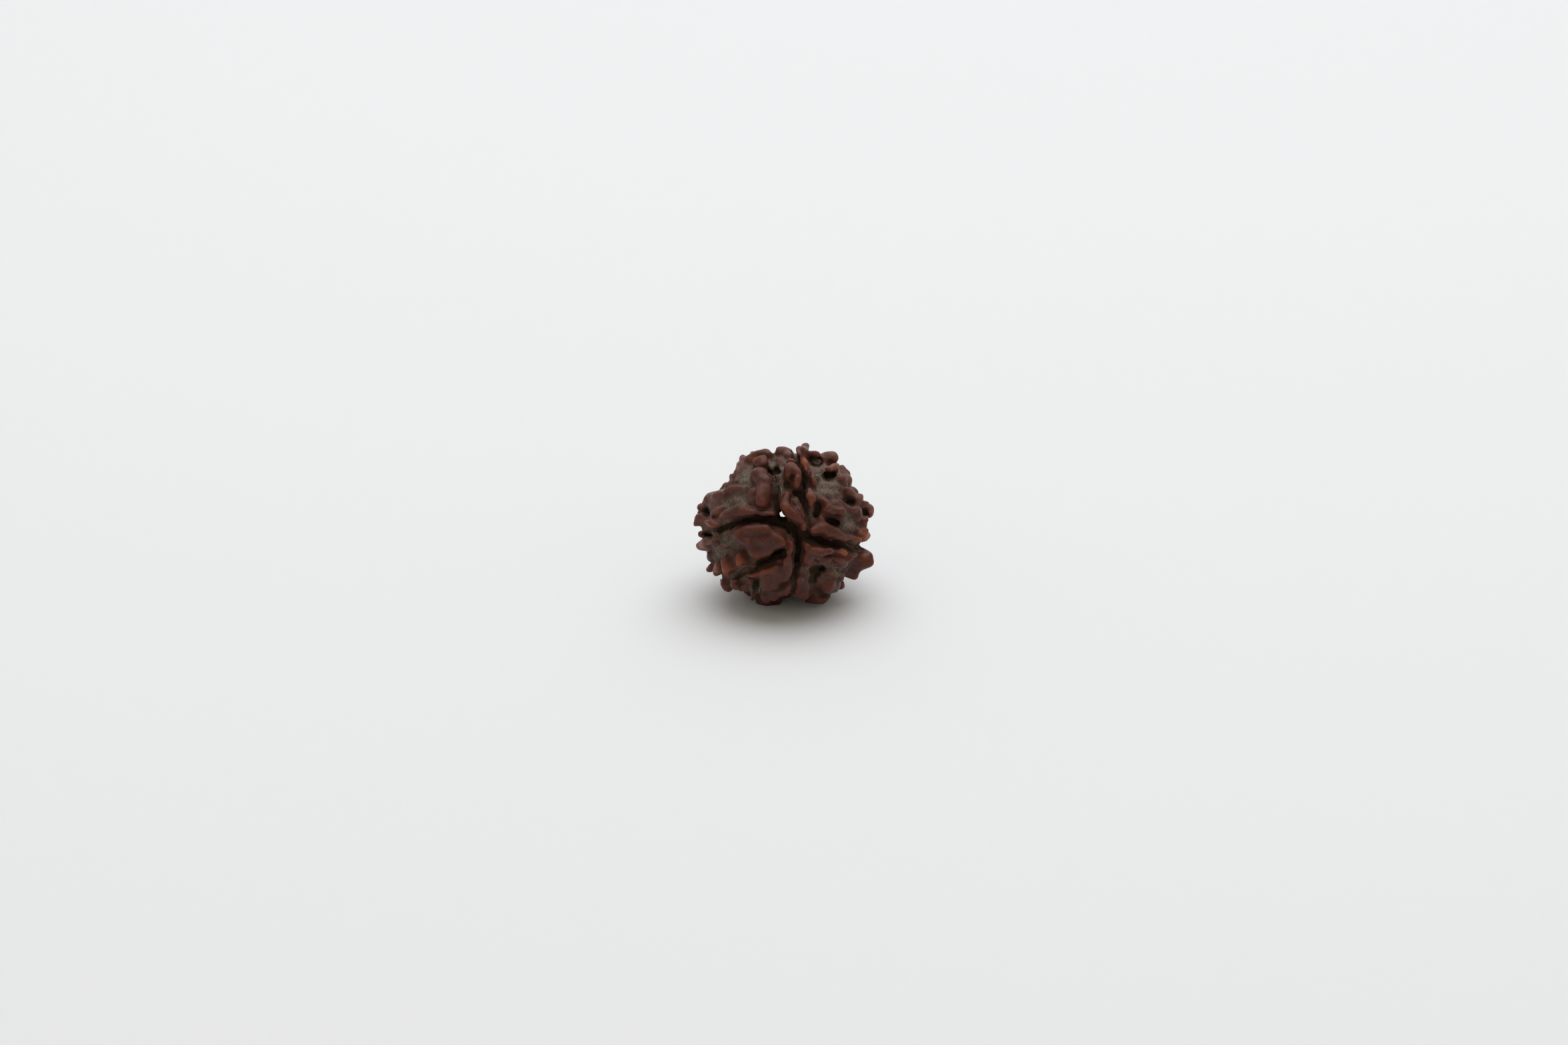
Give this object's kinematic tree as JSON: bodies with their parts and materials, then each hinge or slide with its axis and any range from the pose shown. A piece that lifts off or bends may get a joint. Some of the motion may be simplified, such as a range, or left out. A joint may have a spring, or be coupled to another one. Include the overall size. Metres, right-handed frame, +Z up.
{
  "type": "rudraksha seed",
  "caption": "Rudraksha bead: a bare, knuckled fruit stone with seams from pole to pole and a natural bore, lying on its side.",
  "frame": {"origin": "on the floor, under the middle of the bead's bounding box", "axes": "+Z up from the floor; +X to the right of the end that faces forwards, along the bead's widest extent; the bore's front mouth faces -Y and a little up"},
  "size_m": [0.022, 0.02, 0.0196],
  "materials": {
    "stone": "satin"
  },
  "bodies": {
    "root": {"rudraksha_bead": "stone"}
  },
  "joints": []
}
